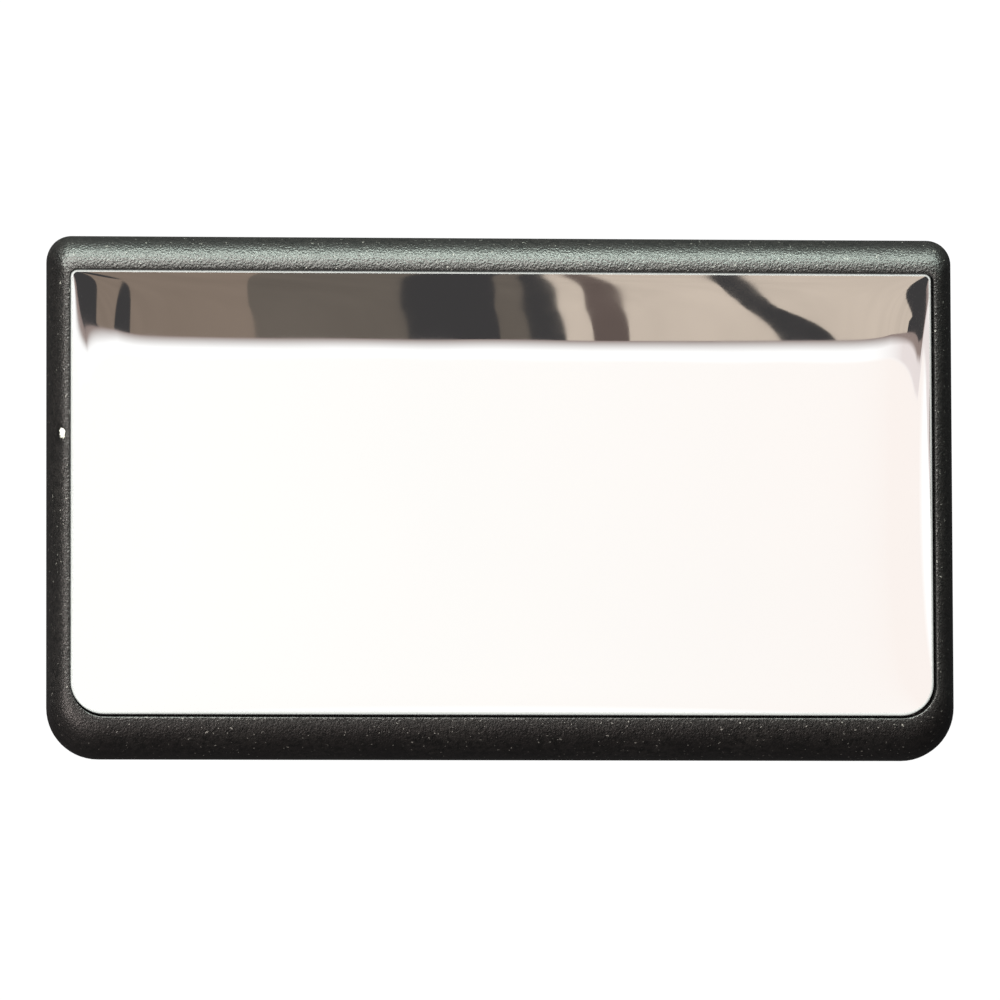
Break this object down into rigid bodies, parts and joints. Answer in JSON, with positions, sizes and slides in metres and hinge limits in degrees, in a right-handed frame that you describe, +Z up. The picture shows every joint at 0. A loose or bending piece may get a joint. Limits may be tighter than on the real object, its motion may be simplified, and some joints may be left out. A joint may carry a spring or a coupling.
{
  "type": "convex security mirror",
  "caption": "Rectangular convex mirror in a rolled black plastic frame, on a wall bracket that pans and tilts and is clamped by wing nuts.",
  "frame": {"origin": "centre of the wall plate's back face, where it lies on the wall", "axes": "+Y into the wall, so the mirror faces -Y; +Z up, along the pan bolt; +X along the mirror's long side and the tilt bolt, to the right of someone in front of it"},
  "size_m": [0.406, 0.1325, 0.234],
  "materials": {
    "mirror_acrylic": "clear acrylic, metallised on its back",
    "black_abs": "fine moulded grain",
    "foam_tape": "closed-cell foam",
    "cover_abs": "fine moulded grain",
    "zinc_steel": "bright zinc plate",
    "black_steel": "black powder coat",
    "cast_zinc": "black powder coat over a casting",
    "nylon": "natural nylon"
  },
  "bodies": {
    "wall_mount": {"wall_plate": "black_steel", "pan_clevis": "black_steel", "pan_bolt": "zinc_steel", "pan_flat_washer": "zinc_steel", "pan_spring_washer": "zinc_steel"},
    "pan_nut": {"pan_wing_nut": "zinc_steel"},
    "knuckle": {"knuckle": "cast_zinc", "pan_friction_washers": "nylon", "tilt_friction_washers": "nylon"},
    "head": {"tilt_clevis": "black_steel", "head_plate": "black_steel", "tilt_bolt": "zinc_steel", "tilt_flat_washer": "zinc_steel", "tilt_spring_washer": "zinc_steel", "bracket_screws": "zinc_steel", "bracket_lock_washers": "zinc_steel", "rear_cover": "cover_abs", "backing_plate": "zinc_steel", "backing_nuts": "zinc_steel", "front_frame": "black_abs", "cover_screws": "zinc_steel", "lens_tape": "foam_tape", "mirror_lens": "mirror_acrylic"},
    "tilt_nut": {"tilt_wing_nut": "zinc_steel"}
  },
  "joints": [
    {"name": "pan", "type": "hinge", "parent": "wall_mount", "child": "knuckle", "pos_m": [0, -0.034, 0], "axis": [0, 0, 1], "range_deg": [-25, 25]},
    {"name": "tilt", "type": "hinge", "parent": "knuckle", "child": "head", "pos_m": [0, -0.074, 0], "axis": [1, 0, 0], "range_deg": [-30, 30]},
    {"name": "tilt_wing_nut_spin", "type": "hinge", "parent": "head", "child": "tilt_nut", "pos_m": [0.0238, -0.074, 0], "axis": [1, 0, 0], "continuous": true},
    {"name": "pan_wing_nut_spin", "type": "hinge", "parent": "wall_mount", "child": "pan_nut", "pos_m": [0, -0.034, -0.0238], "axis": [0, 0, -1], "continuous": true}
  ]
}
